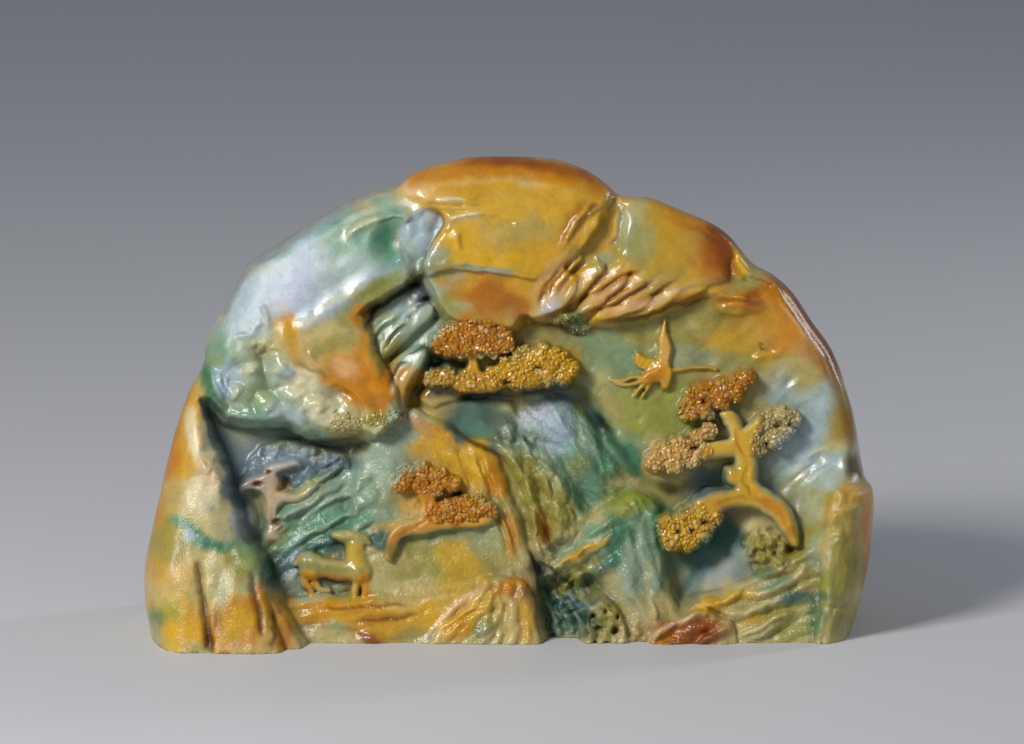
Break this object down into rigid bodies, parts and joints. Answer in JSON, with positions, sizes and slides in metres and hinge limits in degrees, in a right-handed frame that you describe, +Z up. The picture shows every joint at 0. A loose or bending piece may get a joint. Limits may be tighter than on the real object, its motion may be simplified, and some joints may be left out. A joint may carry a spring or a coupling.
{
  "type": "jade boulder carving",
  "caption": "Half-round boulder of tricolour jadeite carved in deep relief as a mountain landscape with pines, a deer and a crane, on a flat sawn base.",
  "frame": {"origin": "centre of the bounding box's footprint, on the sawn base", "axes": "+X to the viewer's right along the block, +Y from the carved face to the back, +Z up"},
  "size_m": [0.232, 0.0886, 0.1496],
  "materials": {
    "tricolour_jade": "polished"
  },
  "bodies": {
    "root": {"jade_boulder": "tricolour_jade"}
  },
  "joints": []
}
